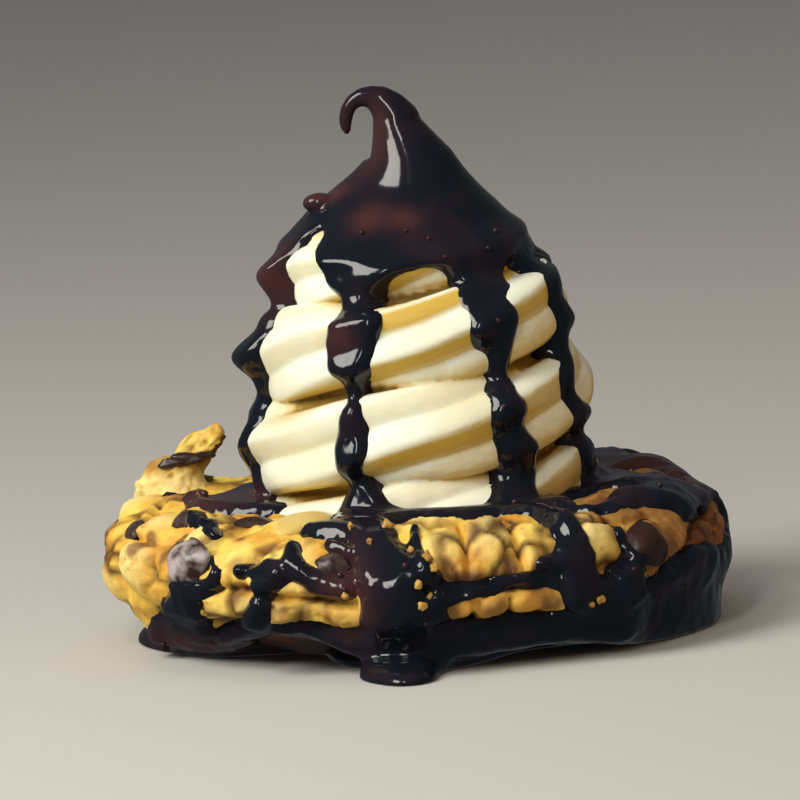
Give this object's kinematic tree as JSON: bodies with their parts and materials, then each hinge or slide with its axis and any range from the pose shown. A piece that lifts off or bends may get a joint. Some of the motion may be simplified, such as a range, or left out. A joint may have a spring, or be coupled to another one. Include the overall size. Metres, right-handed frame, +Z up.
{
  "type": "cookie sundae",
  "caption": "Thick chocolate chip cookie with a tall soft-serve swirl on it, under dark chocolate sauce that runs down over the rim and pools round the foot.",
  "frame": {"origin": "centre of the cookie's flat underside, on the table", "axes": "+Z up, -Y to the front, +X to the right as seen from the front; the tip curls over towards -X"},
  "size_m": [0.1195, 0.1269, 0.104],
  "materials": {
    "baked_dough": "baked crust, rough and dry",
    "soft_serve": "soft ice cream, smooth and slightly wet",
    "chocolate_sauce": "wet, glossy",
    "chip_chocolate": "dark chocolate, satin"
  },
  "bodies": {
    "root": {"cookie": "baked_dough", "soft_serve": "soft_serve", "chocolate_sauce": "chocolate_sauce", "chip_01": "chip_chocolate", "chip_02": "chip_chocolate", "chip_03": "chip_chocolate", "chip_04": "chip_chocolate", "chip_05": "chip_chocolate", "chip_06": "chip_chocolate", "chip_07": "chip_chocolate", "chip_08": "chip_chocolate", "chip_09": "chip_chocolate", "chip_10": "chip_chocolate", "chip_11": "chip_chocolate", "chip_12": "chip_chocolate", "chip_13": "chip_chocolate", "chip_14": "chip_chocolate"}
  },
  "joints": []
}
